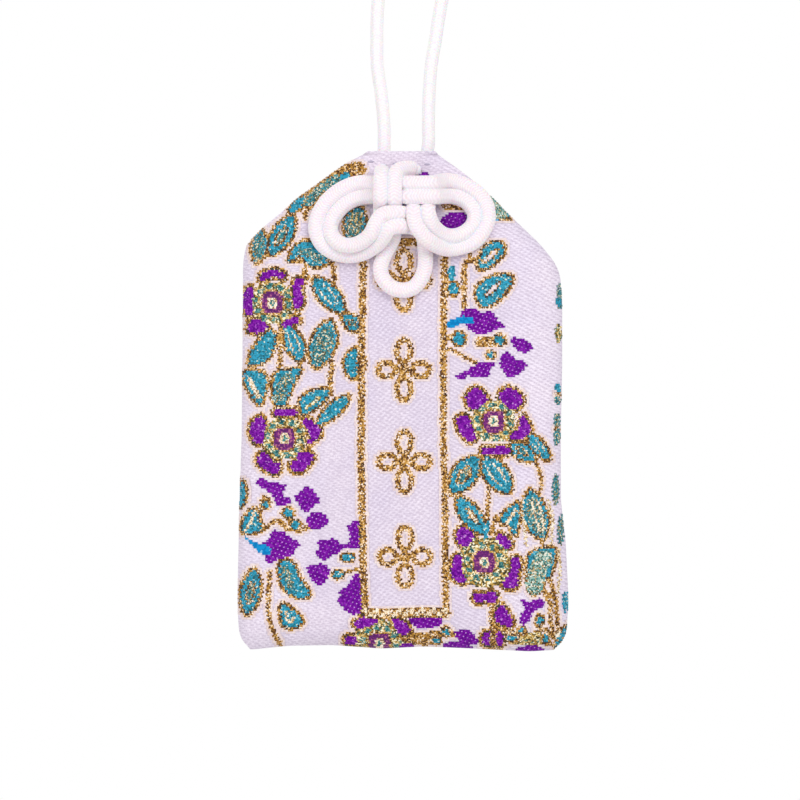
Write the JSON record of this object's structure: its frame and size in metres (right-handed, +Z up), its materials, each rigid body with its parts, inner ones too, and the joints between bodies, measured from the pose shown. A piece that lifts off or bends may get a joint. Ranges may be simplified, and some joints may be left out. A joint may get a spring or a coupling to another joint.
{
  "type": "omamori charm",
  "caption": "Flat brocade charm pouch with slanted shoulders, a wrapped talisman inside, a braided cord tied in front in a double-eared knot, and a hanging loop.",
  "frame": {"origin": "crotch of the hanging loop, where it rests on its hook", "axes": "+Z up, +X to the right seen from the front, +Y to the back, so the knot side faces -Y"},
  "size_m": [0.0462, 0.0126, 0.1325],
  "materials": {
    "brocade": "white satin brocade with teal, purple and gold woven flowers and leaves",
    "interlining": "plain stiff interlining",
    "card": "plain grey-buff card",
    "paper": "unbleached white paper",
    "wood": "planed bare softwood",
    "thread": "white sewing thread",
    "cord": "white round braid, soft sheen"
  },
  "bodies": {
    "loop": {"loop_strand_left": "cord", "loop_strand_right": "cord", "loop_end_knot": "cord", "loop_tail_left": "cord", "loop_tail_right": "cord"},
    "pouch": {"pouch_cloth": "brocade", "interlining": "interlining", "stiffener_card": "card", "talisman_wrapper": "paper", "talisman_tablet": "wood", "seam_thread_left": "thread", "seam_thread_right": "thread", "mouth_thread": "thread", "cord_run_left": "cord", "cord_run_right": "cord"},
    "knot": {"front_knot": "cord"}
  },
  "joints": [
    {"name": "pouch_swing", "type": "hinge", "parent": "loop", "child": "pouch", "pos_m": [0, 0, -0.04865], "axis": [1, 0, 0], "range_deg": [-90, 90]},
    {"name": "knot_lift", "type": "hinge", "parent": "pouch", "child": "knot", "pos_m": [0, -0.0051, -0.0527], "axis": [-1, 0, 0], "range_deg": [0, 60]}
  ]
}
